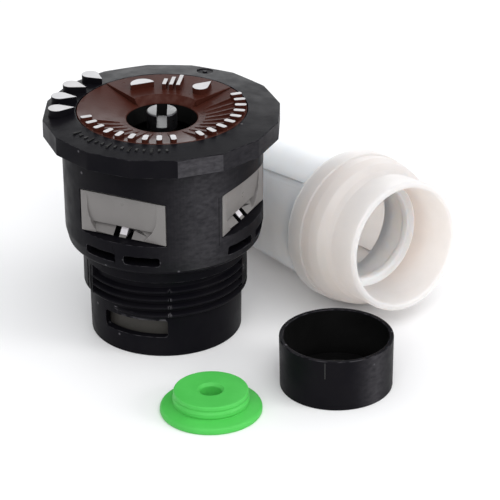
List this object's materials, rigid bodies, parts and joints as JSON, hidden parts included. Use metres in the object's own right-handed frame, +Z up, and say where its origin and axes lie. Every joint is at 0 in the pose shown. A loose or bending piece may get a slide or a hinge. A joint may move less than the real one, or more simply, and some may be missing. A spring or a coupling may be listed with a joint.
{
  "type": "pop-up spray nozzle kit",
  "caption": "Half-circle spray nozzle for a pop-up riser, standing on its threaded base, with its filter screen, retaining collar and flow disc laid out beside it.",
  "frame": {"origin": "middle of the kit's footprint, on the surface that it stands on", "axes": "+Z up along the nozzle's axis; -Y is the front, where the collar and the disc lie; +X is towards the filter's mouth"},
  "size_m": [0.0436, 0.0538, 0.0258],
  "materials": {
    "black_plastic": "satin moulded, lightly scuffed",
    "brown_plastic": "satin moulded",
    "grey_plastic": "smooth moulded",
    "sleeve_grey": "matte moulded",
    "core_black": "moulded",
    "filter_white": "milky, translucent",
    "disc_green": "soft moulded",
    "seal_rubber": "matte",
    "screw_steel": "turned stainless",
    "bush_brass": "turned"
  },
  "bodies": {
    "nozzle": {"nozzle_housing": "black_plastic", "threaded_base": "black_plastic", "inlet_sleeve": "sleeve_grey", "throttle_seat": "core_black", "arc_cap": "brown_plastic", "spray_chip_left": "grey_plastic", "spray_chip_right": "grey_plastic", "flow_core": "core_black", "core_seal": "seal_rubber", "screw_bush": "bush_brass", "screw_seal": "seal_rubber"},
    "throttle": {"throttle_plug": "core_black"},
    "screw": {"radius_screw": "screw_steel", "plug_clip": "screw_steel"},
    "filter": {"filter_neck": "filter_white", "filter_basket": "filter_white", "filter_screen_left": "filter_white", "filter_screen_right": "filter_white", "filter_end_cap": "filter_white"},
    "collar": {"retaining_collar": "black_plastic"},
    "disc": {"flow_disc": "disc_green"}
  },
  "joints": [
    {"name": "throttle_travel", "type": "slide", "parent": "nozzle", "child": "throttle", "axis": [0, 0, 1], "range_m": [-0.00175, 0]},
    {"name": "screw_turn", "type": "hinge", "parent": "throttle", "child": "screw", "pos_m": [-0.00944, -0.00227, 0.0239], "axis": [0, 0, 1], "range_deg": [-1260, 0]},
    {"name": "filter_lift", "type": "slide", "parent": "nozzle", "child": "filter", "axis": [0.5721, 0.4156, 0.7071], "range_m": [0, 0.04]},
    {"name": "collar_lift", "type": "slide", "parent": "nozzle", "child": "collar", "axis": [0, 0, 1], "range_m": [0, 0.03]},
    {"name": "disc_lift", "type": "slide", "parent": "nozzle", "child": "disc", "axis": [0, 0, 1], "range_m": [0, 0.03]}
  ],
  "couplings": [
    {"joint": "screw_turn", "follows": "throttle_travel", "rad_per_m": 12566}
  ]
}
